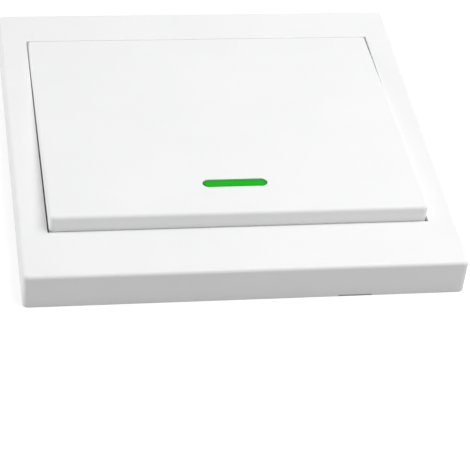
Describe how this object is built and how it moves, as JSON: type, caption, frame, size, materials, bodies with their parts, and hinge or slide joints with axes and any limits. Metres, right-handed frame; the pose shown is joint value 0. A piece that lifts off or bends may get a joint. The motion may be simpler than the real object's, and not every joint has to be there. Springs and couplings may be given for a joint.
{
  "type": "wireless remote wall switch",
  "caption": "Square white wall panel with one large tilted rocker key and a small green light strip; a coin-cell radio sender on a hooked, screw-fixed back plate",
  "frame": {"origin": "centre of the back face that lies against the wall", "axes": "+X along the hinge, +Y from the key's free edge to its hinge (up on the wall), +Z out of the wall"},
  "size_m": [0.086, 0.086, 0.0111],
  "materials": {
    "panel_white": "satin",
    "green_light_guide": "gloss",
    "board_laminate": "satin",
    "black_plastic": "matte",
    "chip_moulding": "matte",
    "chip_ceramic": "matte",
    "lamp_resin": "gloss",
    "zinc_steel": "satin",
    "cell_steel": "satin",
    "spring_steel": "satin",
    "tinned_metal": "satin"
  },
  "bodies": {
    "housing": {"front_frame": "panel_white", "back_plate": "panel_white", "circuit_board": "board_laminate", "board_screws": "zinc_steel", "switch_base": "black_plastic", "switch_dome": "spring_steel", "switch_cover": "spring_steel", "switch_terminals": "tinned_metal", "battery_holder": "black_plastic", "battery_contact": "spring_steel", "coin_cell": "cell_steel", "battery_clip": "spring_steel", "encoder_chip": "chip_moulding", "encoder_chip_leads": "tinned_metal", "saw_resonator": "zinc_steel", "rf_transistor": "chip_moulding", "transistor_leads": "tinned_metal", "indicator_led": "lamp_resin", "chip_resistors": "chip_moulding", "chip_capacitors": "chip_ceramic", "loop_antenna": "tinned_metal"},
    "key": {"rocker_key": "panel_white", "indicator_strip": "green_light_guide"},
    "plunger": {"switch_plunger": "black_plastic"}
  },
  "joints": [
    {"name": "key_press", "type": "hinge", "parent": "housing", "child": "key", "pos_m": [0, 0.0308, 0.0046], "axis": [1, 0, 0], "range_deg": [0, 0.75], "stiffness_Nm_per_rad": 1.5, "springref_deg": -0.57},
    {"name": "plunger_travel", "type": "slide", "parent": "housing", "child": "plunger", "axis": [0, 0, -1], "range_m": [0, 0.00025], "deforming": ["switch_dome"]}
  ],
  "couplings": [
    {"joint": "plunger_travel", "follows": "key_press", "m_per_rad": 0.0175}
  ]
}
